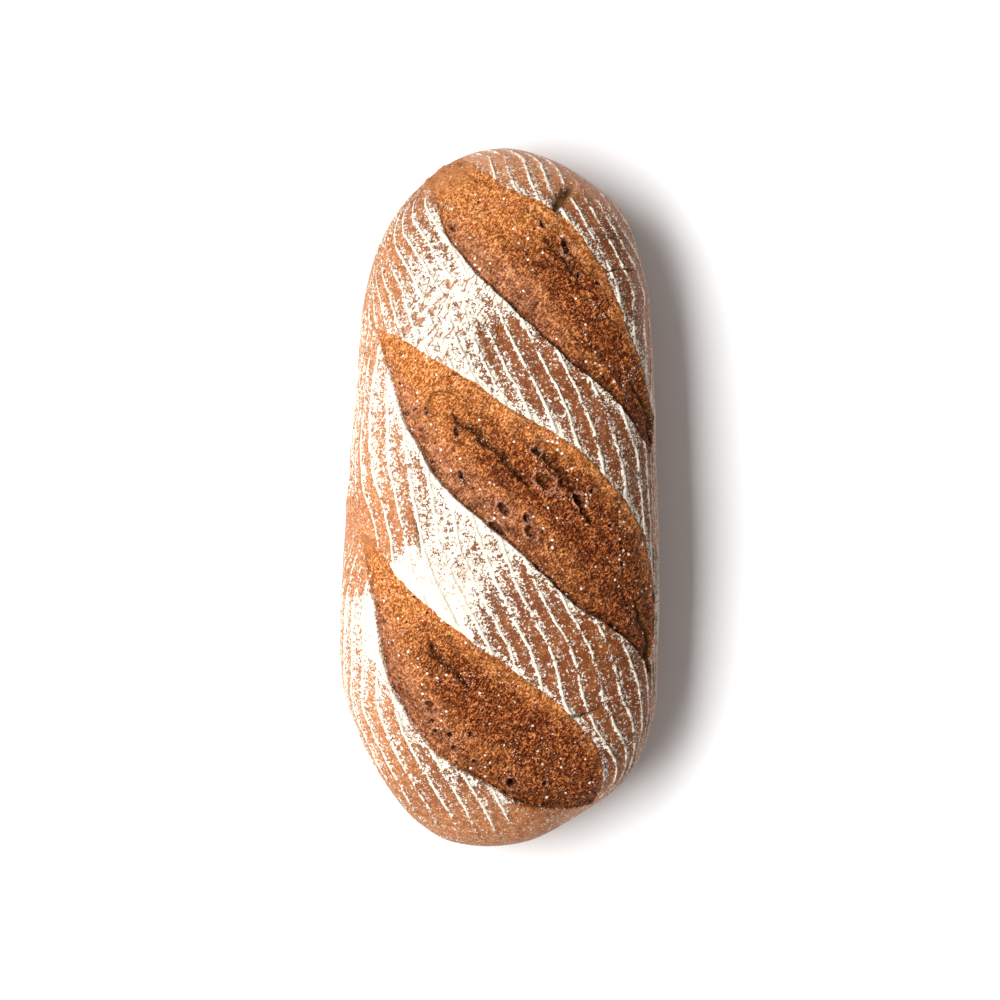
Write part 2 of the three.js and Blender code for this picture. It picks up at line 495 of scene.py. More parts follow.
def quads(index):
    """The four corners of every cell of a grid of vertex numbers."""
    return np.stack([index[:-1, :-1], index[:-1, 1:], index[1:, 1:], index[1:, :-1]], axis=-1).reshape(-1, 4)


def border(index):
    """The vertex numbers round the edge of a grid, once round."""
    return np.concatenate([index[0, :-1], index[:-1, -1], index[-1, :0:-1], index[:0:-1, 0]])


def closed_skin(skin, sole):
    """Faces over the skin's grid and under it, sharing the sole's edge, as vertex numbers and face sizes."""
    top = np.arange(skin.size).reshape(skin.shape)
    coarse = np.arange(sole.size).reshape(sole.shape) + skin.size
    coarse[0, :] = top[0, ::SOLE_STEP]
    coarse[-1, :] = top[-1, ::SOLE_STEP]
    coarse[:, 0] = top[::SOLE_STEP, 0]
    coarse[:, -1] = top[::SOLE_STEP, -1]
    upper = quads(top)
    rows, columns = coarse.shape
    inner = quads(coarse[1:-1, 1:-1])[:, ::-1]
    fine = border(top)
    place = {vertex: k for k, vertex in enumerate(fine)}
    edge_cells = []
    for row in range(rows - 1):
        whole_row = row in (0, rows - 2)
        for column in range(columns - 1) if whole_row else (0, columns - 2):
            (a, b), (d, c) = coarse[row : row + 2, column : column + 2]
            corners = [a, d, c, b]
            cell = []
            for a, b in zip(corners, corners[1:] + corners[:1]):
                cell.append(a)
                if a in place and b in place:
                    gap = (place[a] - place[b]) % len(fine)
                    if gap == SOLE_STEP:
                        cell.extend(fine[(place[a] - k) % len(fine)] for k in range(1, SOLE_STEP))
            edge_cells.append(cell)
    sizes = np.concatenate([np.full(len(upper) + len(inner), 4), [len(cell) for cell in edge_cells]])
    corners = np.concatenate([upper.ravel(), inner.ravel(), [v for cell in edge_cells for v in cell]])
    used, numbers = np.unique(corners, return_inverse=True)
    return used, numbers.ravel(), sizes


# ---------------------------------------------------------------------------------------------------
# Slashes, tears, rings and flour, as fields over the skin
# ---------------------------------------------------------------------------------------------------


def slash_fields(x, y):
    """For each place: how far inside a slash it is, how far across and along, and how open the slash is."""
    edge = np.full(x.shape, OUTSIDE)
    across = np.zeros(x.shape)
    along = np.zeros(x.shape)
    strength = np.zeros(x.shape)
    for bloom in BLOOMS:
        upper, lower = rounded_line(bloom["upper"]), rounded_line(bloom["lower"])
        to_upper, up_place = distance_to(upper, x, y, 60)
        to_lower, low_place = distance_to(lower, x, y, 60)
        within = inside(np.vstack([upper, lower[::-1]]), x, y)
        nearest = np.minimum(to_upper, to_lower)
        gap = np.where(within, nearest, -nearest)
        share = np.where(within, to_lower / np.maximum(to_lower + to_upper, 1e-6), to_lower > to_upper)
        place = np.where(to_upper < to_lower, up_place, low_place)
        closer = gap > edge
        edge = np.where(closer, gap, edge)
        across = np.where(closer, share, across)
        along = np.where(closer, place, along)
        strength = np.where(closer, ramp(place, 0, 0.3) * ramp(place, 1, 0.86), strength)
    return edge, across, along, strength


def ring_home(x, y, freedom, shape):
    """Where each place lay in the basket, before the slashes turned the strips and pulled at their starts."""
    below = np.zeros(x.shape, int)
    for bloom in BLOOMS:
        upper, lower = rounded_line(bloom["upper"]), rounded_line(bloom["lower"])
        middle = (upper[:: len(upper) // 10][:10] + lower[:: len(lower) // 10][:10]) / 2
        below += y < np.interp(x, middle[:, 0], middle[:, 1])
    home_x = x.copy()
    for strip, middle_y in enumerate(STRIP_MIDDLES, start=1):
        climb = STRIP_REACH * np.tanh((y - middle_y) / STRIP_REACH)
        home_x += math.tan(shape.strip_turn) * climb * freedom * (below == strip)
    for bloom in BLOOMS:
        start_x, start_y = bloom["upper"][0]
        gap = np.hypot(x - start_x, (y - start_y) * 0.7)
        home_x -= shape.start_pull / MM * np.exp(-((gap / PULL_REACH) ** 2))
    home_x += np.sign(y) * shape.end_lean / MM * ramp(np.abs(y), LEAN_FROM, LEAN_TO)
    return home_x, y / shape.ring_stretch


def slash_relief(edge, across, strength, shape):
    """How far the slashes raise or sink the skin, in millimetres: a sharp lip below, a soft edge above."""
    lip, rim, depth = shape.lip_height / MM, shape.rim_height / MM, shape.bloom_depth / MM
    width = 0.35 + 0.8 * across
    bulge = 1.1 * ramp(across, 0, 0.22) * ramp(across, 0.62, 0.3)
    rising = 0.9 * ramp(across, 0.5, 0.95)
    floor = -depth * ramp(across, 1.05, -0.1) + bulge + rising
    floor = floor - shape.crease_depth / MM * (1 - across) * np.exp(-edge / CREASE_REACH)
    low = across < 0.5
    skin = np.where(low, lip * np.exp(edge / LIP_REACH), rim * np.exp(edge / RIM_REACH))
    carried = np.where(low, lip, rim) * ramp(edge, 0.4, 0)
    return strength * np.where(edge > 0, floor * ramp(edge, 0, width) + carried, skin)


def groove_fields(lines, x, y, seed, ragged):
    """How open the nearest groove is at each place, from 0 to 1, and how deep, in millimetres."""
    openness = np.zeros(x.shape)
    depth = np.zeros(x.shape)
    for number, (corners, width, deep) in enumerate(lines):
        line = rounded_line(corners, spacing=0.6)
        wobble = ragged * cloud(x, y, 1.7, seed + number)
        distance, place = distance_to(line, x, y, width * 1.5 + 2)
        half = width / 2 * np.sqrt(np.clip(1 - (2 * place - 1) ** 2, 0.02, 1)) * (1 + wobble)
        inner = ramp(distance, half * 1.35, half * 0.3)
        openness = np.maximum(openness, inner)
        depth = np.maximum(depth, inner * deep)
    return openness, depth


def bubble_fields(x, y):
    """How far inside an open bubble or on its rim each place is, from 0 to 1, and how that moves the skin."""
    hollow = np.zeros(x.shape)
    rim = np.zeros(x.shape)
    rise = np.zeros(x.shape)
    for number, ((cx, cy), length, width, turn, depth) in enumerate(BUBBLES):
        near = np.flatnonzero((np.abs(x - cx) < length) & (np.abs(y - cy) < length))
        angle = math.radians(turn)
        dx, dy = x[near] - cx, y[near] - cy
        u = (dx * math.cos(angle) - dy * math.sin(angle)) / (length / 2)
        v = (dx * math.sin(angle) + dy * math.cos(angle)) / (width / 2)
        gap = np.hypot(u, v) * (1 + 0.22 * cloud(dx, dy, 1.3, 70 + number))
        inner = ramp(gap, 1.0, 0.55)
        hollow[near] = np.maximum(hollow[near], inner)
        around = ramp(np.abs(gap - 1.15), 0.3, 0)
        rim[near] = np.maximum(rim[near], around)
        rise[near] += 0.8 * around - 1.7 * inner * depth
    return hollow, rim, rise


def flour_field(x, y):
    """How much of the skin flour covers at each place, from 0 to 1."""
    total = np.zeros(x.shape)
    weights = np.zeros(x.shape)
    for (cx, cy), level in FLOUR_LEVELS:
        weight = np.exp(-((x - cx) ** 2 + (y - cy) ** 2) / (2 * FLOUR_BLEND**2)) + 1e-9
        total += weight * level
        weights += weight
    return total / weights


def golden_and_lit_field(x, y):
    """Golden colour over the skin: along the left and round the ends, partly bare skin and partly painted
    light where the lamp falls brightest; and bare golden skin where the slashes start.
    """
    golden = np.maximum(0.9 * ramp(x, -20, -58), ramp(np.abs(y), 118, 150) * np.where(y > 0, 1.0, 0.8))
    for bloom in BLOOMS:
        start_x, start_y = np.mean([bloom["upper"][0], bloom["lower"][0]], axis=0)
        gap = np.hypot(x - start_x, y - start_y)
        golden = np.maximum(golden, np.exp(-((gap / GOLDEN_START) ** 2)))
    return golden


def dried_field(x, y):
    """Where thick flour dried into cracks."""
    dried = np.zeros(x.shape)
    for (cx, cy), size, level in DRIED:
        dried += level * np.exp(-((x - cx) ** 2 + (y - cy) ** 2) / (2 * size**2))
    return dried


def skin_mesh(shape):
    """The loaf's smooth skin as a mesh, with every field that its relief and its material read."""
    body = Body(shape)
    x, y, z, reach = skin_sheet(body, shape.spacing / MM, shape.side_spacing / MM)
    sole_x, sole_y = sole_sheet(x, y)
    used, corners, sizes = closed_skin(x, sole_x)
    top_count = x.size

    x = np.concatenate([x.ravel(), sole_x.ravel()])[used]
    y = np.concatenate([y.ravel(), sole_y.ravel()])[used]
    z = np.concatenate([z.ravel(), np.zeros(sole_x.size)])[used]
    reach = np.concatenate([reach.ravel(), np.full(sole_x.size, body.reach_sole)])[used]
    on_sole = used >= top_count

    lower = reach - body.reach_widest
    top = ramp(lower, *SLASHES_FADE) * ~on_sole
    edge, across, along, strength = slash_fields(x + wander(x, y, 1), y + wander(x, y, 3))
    edge = np.where(top > 0.02, edge, OUTSIDE)
    strength = strength * top
    tear, tear_depth = groove_fields(TEARS, x, y, 40, 0.35)
    crease, crease_depth = groove_fields(CREASES, x, y, 60, 0.5)
    hollow, rim, bubble_rise = bubble_fields(x, y)
    crease = crease * ramp(edge, 0.5, 3)
    hollow = hollow * ramp(edge, 0, 1)

    rise = slash_relief(edge, across, strength, shape) - tear_depth * top - crease_depth * crease
    rise = rise + bubble_rise * ramp(edge, 0, 1)
    rise = rise + 0.8 * cloud(x, y, 34, 7) * top + 0.35 * cloud(x, y, 13, 8) * top

    freedom = ramp(lower, *RINGS_FREE)
    home_x, home_y = ring_home(*body.held_place(x, y, reach), freedom, shape)
    ring_reach = body.reach_of(home_x, home_y) + np.maximum(reach - body.reach_held, 0)
    ring = ring_reach * MM / shape.ring_pitch + 0.14 * cloud(x, y, 22, 9) + 0.05 * cloud(x, y, 6, 10)

    flour = flour_field(x, y) * ramp(lower, *FLOUR_FADES)
    fields = {
        "edge": edge * MM,
        "across": across,
        "along": along,
        "strength": strength,
        "top": top,
        "rise": rise * MM,
        "tear": tear * top,
        "crease": crease,
        "hollow": hollow,
        "rim": rim * ramp(edge, 0, 1),
        "ring": ring,
        "flour": flour * ~on_sole,
        "reach": reach / body.reach_sole,
        "sole": on_sole.astype(float),
        "golden": golden_and_lit_field(x, y),
        "dried": dried_field(x, y) * top,
        "side": np.tanh(home_x / 8),
    }

    mesh = bpy.data.meshes.new("loaf_skin")
    mesh.vertices.add(len(x))
    mesh.vertices.foreach_set("co", (np.stack([x, y, z], axis=1) * MM).astype(np.float32).ravel())
    mesh.loops.add(len(corners))
    mesh.loops.foreach_set("vertex_index", corners.astype(np.int32))
    mesh.polygons.add(len(sizes))
    mesh.polygons.foreach_set("loop_start", np.concatenate([[0], np.cumsum(sizes)[:-1]]).astype(np.int32))
    mesh.update(calc_edges=True)
    for name, values in fields.items():
        layer = mesh.attributes.new(name, "FLOAT", "POINT")
        layer.data.foreach_set("value", values.astype(np.float32))
    mesh.validate()
    return mesh


# ---------------------------------------------------------------------------------------------------
# Node trees
# ---------------------------------------------------------------------------------------------------


class Sheet:
    """Lays out one node tree; every method returns the output that the next step reads."""

    def __init__(self, tree):
        self.tree = tree
        self.shader = tree.bl_idname == "ShaderNodeTree"

    def add(self, kind, inputs=None, **settings):
        node = self.tree.nodes.new(kind)
        for name, value in settings.items():
            setattr(node, name, value)
        for name, value in (inputs or {}).items():
            self.put(value, node.inputs[name])
        return node

    def put(self, value, socket):
        if isinstance(value, bpy.types.NodeSocket):
            self.tree.links.new(value, socket)
        elif value is not None:
            socket.default_value = value

    def math(self, operation, a, b=None, clamp=False):
        return self.add("ShaderNodeMath", {0: a, 1: b}, operation=operation, use_clamp=clamp).outputs[0]

    def plus(self, a, b):
        return self.math("ADD", a, b)

    def minus(self, a, b):
        return self.math("SUBTRACT", a, b)

    def times(self, a, *others):
        for other in others:
            a = self.math("MULTIPLY", a, other)
        return a

    def flip(self, a):
        return self.math("SUBTRACT", 1.0, a)

    def most(self, a, b):
        return self.math("MAXIMUM", a, b)

    def soft(self, value, start, end, low=0.0, high=1.0):
        """low before start and high after end, with a smooth way between."""
        linked = isinstance(start, bpy.types.NodeSocket) or isinstance(end, bpy.types.NodeSocket)
        if not linked and start > end:
            start, end, low, high = end, start, high, low
        inputs = {"Value": value, "From Min": start, "From Max": end, "To Min": low, "To Max": high}
        return self.add("ShaderNodeMapRange", inputs, interpolation_type="SMOOTHSTEP").outputs[0]

    def field(self, name):
        if self.shader:
            return self.add("ShaderNodeAttribute", attribute_name=name).outputs["Fac"]
        return self.add("GeometryNodeInputNamedAttribute", {"Name": name}, data_type="FLOAT").outputs[0]

    def position(self):
        if self.shader:
            return self.add("ShaderNodeTexCoord").outputs["Object"]
        return self.add("GeometryNodeInputPosition").outputs[0]

    def moved(self, vector, offset):
        return self.add("ShaderNodeVectorMath", {0: vector, 1: offset}, operation="ADD").outputs[0]

    def stretched(self, vector, x, y, z):
        return self.add("ShaderNodeVectorMath", {0: vector, 1: (x, y, z)}, operation="MULTIPLY").outputs[0]

    def turned(self, vector, degrees):
        inputs = {"Vector": vector, "Angle": math.radians(degrees)}
        return self.add("ShaderNodeVectorRotate", inputs, rotation_type="Z_AXIS").outputs[0]

    def noise(self, vector, size, detail=3.0, roughness=0.55, distortion=0.0):
        """Noise from 0 to 1 whose lumps are about size across, in metres."""
        inputs = {
            "Vector": vector,
            "Scale": self.math("DIVIDE", 1.0, size),
            "Detail": detail,
            "Roughness": roughness,
            "Distortion": distortion,
        }
        return self.add("ShaderNodeTexNoise", inputs, noise_dimensions="3D").outputs[0]

    def cells(self, vector, size, feature="F1", output="Distance"):
        """A value of the cells, about size apart, that fill the space."""
        inputs = {"Vector": vector, "Scale": self.math("DIVIDE", 1.0, size)}
        node = self.add("ShaderNodeTexVoronoi", inputs, feature=feature, voronoi_dimensions="3D")
        return node.outputs[output]

    def chance(self, vector, size):
        """A random number from 0 to 1 for each cell, the same all over it."""
        return self.add("ShaderNodeSeparateXYZ", {0: self.cells(vector, size, output="Color")}).outputs[0]

    def off_middle(self, value):
        """How far a value is from halfway between two whole numbers."""
        return self.math("ABSOLUTE", self.minus(self.math("FRACT", value), 0.5))

    def blend(self, factor, a, b):
        node = self.add("ShaderNodeMix", data_type="RGBA")
        colours = [socket for socket in node.inputs if socket.type == "RGBA"]
        self.put(factor, node.inputs[0])
        self.put(opaque(a), colours[0])
        self.put(opaque(b), colours[1])
        return next(socket for socket in node.outputs if socket.type == "RGBA")

    def steps(self, value, stops):
        """Colours along a value, each at its own place."""
        node = self.add("ShaderNodeValToRGB", {0: value})
        elements = node.color_ramp.elements
        while len(elements) < len(stops):
            elements.new(0.5)
        for element, (place, colour) in zip(elements, stops):
            element.position = place
            element.color = opaque(colour)
        return node.outputs[0]

    def store(self, geometry, name, value):
        """Keeps a value at every point of a geometry, under a name."""
        inputs = {"Geometry": geometry, "Name": name, "Value": value}
        node = self.add("GeometryNodeStoreNamedAttribute", inputs, data_type="FLOAT", domain="POINT")
        return node.outputs[0]

    def finished(self, geometry, material):
        """Ends a geometry tree: real triangles in one material."""
        inputs = {"Geometry": self.add("GeometryNodeRealizeInstances", {"Geometry": geometry}).outputs[0]}
        inputs["Material"] = material
        geometry = self.add("GeometryNodeSetMaterial", inputs).outputs[0]
        self.add("NodeGroupOutput", {"Geometry": geometry})


def opaque(colour):
    """A colour with its fourth channel, or the socket that brings one."""
    if isinstance(colour, bpy.types.NodeSocket):
        return colour
    return (*tuple(colour)[:3], 1.0)


def geometry_tree(name, inputs):
    """A Geometry Nodes tree with named inputs, each given as its kind and its value."""
    tree = bpy.data.node_groups.new(name, "GeometryNodeTree")
    tree.interface.new_socket("Geometry", in_out="INPUT", socket_type="NodeSocketGeometry")
    for label, (kind, value) in inputs.items():
        socket = tree.interface.new_socket(label, in_out="INPUT", socket_type=kind)
        if kind != "NodeSocketMaterial":
            socket.default_value = value
    tree.interface.new_socket("Geometry", in_out="OUTPUT", socket_type="NodeSocketGeometry")
    sheet = Sheet(tree)
    source = sheet.add("NodeGroupInput").outputs
    return tree, sheet, {socket.name: socket for socket in source if socket.name}


def grow(obj, tree, inputs, name):
    """The mesh that a tree makes of an object, as a plain mesh object of its own."""
    modifier = obj.modifiers.new(tree.name, "NODES")
    modifier.node_group = tree
    for item in tree.interface.items_tree:
        if item.item_type == "SOCKET" and item.in_out == "INPUT" and item.name in inputs:
            modifier[item.identifier] = inputs[item.name][1]
    bpy.context.view_layer.update()
    depsgraph = bpy.context.evaluated_depsgraph_get()
    mesh = bpy.data.meshes.new_from_object(obj.evaluated_get(depsgraph))
    obj.modifiers.remove(modifier)
    mesh.name = name
    return mesh


def settings_of(group):
    """A group's settings, in order."""
    return [setting for setting in group.bl_rna.properties if setting.identifier not in ("rna_type", "name")]


def tree_inputs(group, material):
    """A tree's inputs: each setting of a group by its label, as its kind and its value, and the material."""
    kinds = {"FLOAT": "NodeSocketFloat", "INT": "NodeSocketInt"}
    inputs = {}
    for setting in settings_of(group):
        inputs[setting.name] = (kinds[setting.type], getattr(group, setting.identifier))
    inputs["Material"] = ("NodeSocketMaterial", material)
    return inputs


def ring_mask(sheet, place, width):
    """1 on the crest of a basket ring, ragged and worn in places; and how far off its band of flour is."""
    ragged = sheet.times(sheet.minus(sheet.noise(place, RAGGED_RINGS, 4.0, 0.7), 0.5), 0.3)
    off_ring = sheet.off_middle(sheet.field("ring"))
    late = sheet.minus(sheet.field("ring"), sheet.times(sheet.field("side"), 0.13))
    off_band = sheet.off_middle(late)
    worn = sheet.soft(sheet.noise(place, WORN_RINGS, 3.0), 0.38, 0.56, 0.2, 1.0)
    crest = sheet.soft(sheet.plus(off_ring, ragged), width, sheet.times(width, 0.4))
    return sheet.times(crest, worn), sheet.plus(off_band, ragged)


def crack_mask(sheet, place, size):
    """Short hairline cracks through thick flour, all leaning the same way."""
    flat = sheet.stretched(place, 1.0, 1.0, 0.0)
    bends = {"Vector": flat, "Scale": 1 / BENT_CRACKS, "Detail": 2.0}
    bends = sheet.add("ShaderNodeTexNoise", bends).outputs["Color"]
    flat = sheet.moved(flat, sheet.stretched(bends, CRACK_WANDER, CRACK_WANDER, 0.0))
    leaning = sheet.stretched(sheet.turned(flat, ACROSS_SLASHES), 0.27, 1.0, 1.0)
    seam = sheet.cells(leaning, size, feature="DISTANCE_TO_EDGE")
    broken = sheet.soft(sheet.noise(flat, BROKEN_CRACKS, 2.0), 0.46, 0.54)
    return sheet.times(sheet.soft(seam, 0.075, 0.015), broken, sheet.soft(sheet.field("dried"), 0.15, 0.6))


def relief_tree(settings):
    """Raises and sinks the skin: basket rings, cracked flour, and the slashes' grain, folds and pits."""
    tree, sheet, given = geometry_tree("crust_relief", settings)
    place = sheet.position()
    offset = sheet.add("ShaderNodeCombineXYZ", {0: sheet.times(given["Seed"], SEED_STEP)}).outputs[0]
    shifted = sheet.moved(place, offset)
    edge, top, flour = sheet.field("edge"), sheet.field("top"), sheet.field("flour")
    bloom = sheet.times(sheet.soft(edge, 0.0, SLASH_EDGE), top)
    skin = sheet.flip(bloom)
    reach = sheet.field("reach")
    above_sole = sheet.soft(reach, SOLE_EDGE, LOW_SIDE)

    ring, _ = ring_mask(sheet, place, given["Ring Width"])
    ring = sheet.times(ring, sheet.soft(flour, 0.0, 0.2, 0.25, 1.0), sheet.soft(reach, 0.67, 0.57))
    crack = crack_mask(sheet, place, given["Crack Size"])
    grain_noise = sheet.noise(shifted, given["Skin Grain Size"], 4.0, 0.65)
    skin_rise = sheet.times(sheet.minus(grain_noise, 0.5), given["Skin Grain Height"], sheet.plus(flour, 0.5))
    skin_rise = sheet.plus(skin_rise, sheet.times(ring, given["Ring Height"]))
    skin_rise = sheet.minus(skin_rise, sheet.times(crack, given["Crack Depth"]))

    streaky = sheet.stretched(sheet.turned(shifted, ALONG_SLASHES), 0.3, 1.0, 1.0)
    folds = sheet.minus(sheet.noise(streaky, given["Fold Size"], 3.0, 0.6, 0.6), 0.5)
    grains = sheet.minus(sheet.noise(shifted, given["Slash Grain Size"], 4.0, 0.7), 0.5)
    bloom_rise = sheet.times(grains, given["Slash Grain Height"])
    bloom_rise = sheet.plus(sheet.times(folds, given["Fold Height"]), bloom_rise)

    pit_chance = sheet.chance(shifted, given["Pit Spacing"])
    pit_gap = sheet.cells(shifted, given["Pit Spacing"])
    pit_size = sheet.soft(pit_chance, 0.6, 1.0, 0.0, 0.36)
    pit_place = sheet.soft(sheet.noise(shifted, PITTED_PLACES, 2.0), 0.42, 0.6)
    pit = sheet.times(sheet.soft(sheet.minus(pit_gap, pit_size), 0.02, -0.16), pit_place, bloom)
    bloom_rise = sheet.minus(bloom_rise, sheet.times(pit, given["Pit Depth"]))

    rise = sheet.times(sheet.plus(sheet.times(skin_rise, skin), sheet.times(bloom_rise, bloom)), above_sole)
    rise = sheet.plus(rise, sheet.field("rise"))
    normal = sheet.add("GeometryNodeInputNormal").outputs[0]
    push = sheet.add("ShaderNodeVectorMath", {0: normal, "Scale": rise}, operation="SCALE").outputs[0]

    geometry = given["Geometry"]
    for name, value in (("bloom", bloom), ("pit", pit)):
        geometry = sheet.store(geometry, name, value)
    geometry = sheet.add("GeometryNodeSetPosition", {"Geometry": geometry, "Offset": push}).outputs[0]
    sheet.finished(geometry, given["Material"])
    return tree


def grain_tree(settings):
    """Strews lumps of flour over the rings and the slashes."""
    tree, sheet, given = geometry_tree("loose_flour", settings)
    bloom, flour = sheet.field("bloom"), sheet.field("flour")
    place = sheet.position()
    clusters = sheet.soft(sheet.noise(place, FLOURY_PLACES, 2.0), 0.5, 0.72)
    on_bloom = sheet.times(bloom, sheet.plus(sheet.times(clusters, 0.12), 0.006))
    on_ring = sheet.soft(sheet.off_middle(sheet.field("ring")), 0.2, 0.02)
    on_skin = sheet.times(sheet.flip(bloom), sheet.plus(sheet.times(on_ring, 0.6), sheet.plus(flour, 0.05)))
    wanted = sheet.times(sheet.plus(on_bloom, sheet.times(on_skin, 0.16)), sheet.field("top"))
    density = sheet.times(wanted, given["Count"])
    inputs = {"Mesh": given["Geometry"], "Density": density, "Seed": given["Seed"]}
    points = sheet.add("GeometryNodeDistributePointsOnFaces", inputs, distribute_method="RANDOM").outputs[0]
    lump = sheet.add("GeometryNodeMeshIcoSphere", {"Radius": 1.0, "Subdivisions": 1}).outputs[0]
    low, high = sheet.times(given["Grain Size"], 0.35), given["Grain Size"]
    inputs = {2: low, 3: high, "Seed": given["Seed"]}
    sizes = sheet.add("FunctionNodeRandomValue", inputs, data_type="FLOAT").outputs[1]
    inputs = {0: (0, 0, 0), 1: ANY_TURN, "Seed": given["Seed"]}
    turns = sheet.add("FunctionNodeRandomValue", inputs, data_type="FLOAT_VECTOR").outputs[0]
    inputs = {0: sizes, 1: sheet.times(sizes, 0.8), 2: sheet.times(sizes, 0.6)}
    scales = sheet.add("ShaderNodeCombineXYZ", inputs).outputs[0]
    inputs = {"Points": points, "Instance": lump, "Rotation": turns, "Scale": scales}
    grains = sheet.add("GeometryNodeInstanceOnPoints", inputs).outputs[0]
    sheet.finished(grains, given["Material"])
    return tree


# ---------------------------------------------------------------------------------------------------
# Materials
# ---------------------------------------------------------------------------------------------------


def blank_material(name):
    """A new material, and the sheet that its nodes are laid out on."""
    material = bpy.data.materials.new(name)
    material.use_nodes = True
    material.node_tree.nodes.clear()
    return material, Sheet(material.node_tree)


def finish_material(sheet, colour, roughness, specular, height=None, bump=0.0):
    """Ends a material with its shader, and a bump of so many metres where it has a height."""
    inputs = {"Base Color": colour, "Roughness": roughness, "Specular IOR Level": specular}
    shader = sheet.add("ShaderNodeBsdfPrincipled", inputs)
    if height is not None:
        bump_node = sheet.add("ShaderNodeBump", {"Height": height, "Distance": bump, "Strength": 1.0})
        sheet.put(bump_node.outputs[0], shader.inputs["Normal"])
    sheet.add("ShaderNodeOutputMaterial", {"Surface": shader.outputs[0]})


def fine_speckle():
    """Grain for any surface: Grains runs evenly from 0 to 1, and Cloud is softer and six times as large."""
    known = bpy.data.node_groups.get("fine_speckle")
    if known:
        return known
    tree = bpy.data.node_groups.new("fine_speckle", "ShaderNodeTree")
    tree.interface.new_socket("Vector", in_out="INPUT", socket_type="NodeSocketVector")
    tree.interface.new_socket("Size", in_out="INPUT", socket_type="NodeSocketFloat")
    tree.interface.new_socket("Grains", in_out="OUTPUT", socket_type="NodeSocketFloat")
    tree.interface.new_socket("Cloud", in_out="OUTPUT", socket_type="NodeSocketFloat")
    sheet = Sheet(tree)
    given = sheet.add("NodeGroupInput").outputs
    sand = sheet.chance(given["Vector"], given["Size"])
    lumps = sheet.soft(sheet.noise(given["Vector"], sheet.times(given["Size"], 2.2), 4.0, 0.7), 0.3, 0.7)
    grains = sheet.plus(sheet.times(sand, 0.55), sheet.times(lumps, 0.45))
    blotches = sheet.soft(sheet.noise(given["Vector"], sheet.times(given["Size"], 6.0), 3.0, 0.6), 0.32, 0.68)
    sheet.add("NodeGroupOutput", {"Grains": grains, "Cloud": blotches})
    return tree


def grains_of(sheet, place, size):
    """The two outputs of the grain, at a size."""
    node = sheet.add("ShaderNodeGroup", node_tree=fine_speckle())
    sheet.put(place, node.inputs["Vector"])
    sheet.put(size, node.inputs["Size"])
    return node.outputs["Grains"], node.outputs["Cloud"]


def golden_skin(sheet, fine, blotch, colours):
    """Bare golden skin with brown grains."""
    golden = sheet.blend(sheet.times(blotch, 0.6), colours.golden, colours.skin_light)
    return sheet.blend(sheet.soft(fine, 0.45, 0.95, 0.0, 0.75), golden, colours.skin_dark)


def skin_colour(sheet, place, colours, crust):
    """Golden skin, browner in blotches, partly painted light on the lit left side and the ends, with a
    painted sheen along the upper rim, under flour that the basket left in rings and patches.
    """
    fine, blotch = grains_of(sheet, place, SKIN_GRAIN)
    coarse, patch = grains_of(sheet, place, SKIN_PATCH)
    flour, reach = sheet.field("flour"), sheet.field("reach")
    skin = sheet.blend(sheet.times(sheet.plus(blotch, patch), 0.5), colours.skin_light, colours.skin_dark)
    skin = sheet.blend(sheet.soft(fine, 0.4, 0.9, 0.0, 0.8), skin, colours.skin_dark)
    skin = sheet.blend(sheet.soft(coarse, 0.45, 0.9, 0.0, 0.6), skin, colours.skin_dark)
    # The golden field is partly painted light: it lightens the skin on the lit left side and at the ends,
    # besides the bare golden skin there and at the slashes' starts.
    skin = sheet.blend(sheet.field("golden"), skin, golden_skin(sheet, fine, blotch, colours))
    side = sheet.blend(sheet.times(patch, 0.5), colours.side, colours.skin_light)
    side = sheet.blend(sheet.soft(fine, 0.5, 1.0, 0.0, 0.4), side, colours.skin_dark)
    skin = sheet.blend(sheet.soft(reach, RIM, SIDE), skin, side)
    # Painted sheen: the upper rim of the skin, more towards the right, is blended into the pinkish highlight
    # colour.
    rim = sheet.times(sheet.soft(reach, 0.48, 0.6), sheet.soft(reach, SIDE, 0.64))
    rim = sheet.times(rim, sheet.soft(sheet.field("side"), -0.5, 1.0), 0.65)
    skin = sheet.blend(rim, skin, colours.painted_sheen)
    skin = sheet.blend(sheet.soft(reach, LOW_SIDE, SOLE_EDGE), skin, colours.sole)
    skin = sheet.blend(sheet.times(flour, colours.veil), skin, colours.flour_shade)

    ring, off_band = ring_mask(sheet, place, crust.ring_width)
    ring = sheet.times(ring, sheet.soft(flour, 0.02, 0.2))
    between = sheet.times(sheet.soft(off_band, 0.14, 0.42), sheet.flip(sheet.times(flour, flour)))
    cover = sheet.most(sheet.minus(sheet.times(flour, 0.97), sheet.times(between, 0.42)), 0.1)
    cover = sheet.plus(cover, sheet.times(ring, sheet.soft(fine, 0.1, 0.6, 0.3, 0.9)))
    at_slash = sheet.times(sheet.soft(sheet.field("edge"), *FLOURED_EDGE), sheet.soft(flour, 0.05, 0.3))
    cover = sheet.plus(cover, sheet.times(at_slash, sheet.field("strength"), 0.35))
    cover = sheet.times(cover, sheet.soft(reach, 0.86, 0.7))
    chance = sheet.soft(sheet.plus(sheet.times(fine, 0.65), sheet.times(coarse, 0.35)), 0.12, 0.88)
    floured = sheet.soft(sheet.minus(chance, cover), 0.17, -0.15)
    flour_tint = sheet.blend(sheet.soft(fine, 0.25, 0.9, 0.0, 0.9), colours.flour, colours.flour_shade)
    colour = sheet.blend(floured, skin, flour_tint)
    crack = crack_mask(sheet, place, crust.crack_size)
    colour = sheet.blend(sheet.times(crack, 0.85), colour, colours.skin_light)
    return colour, floured, sheet.minus(sheet.times(ring, 0.5), crack)


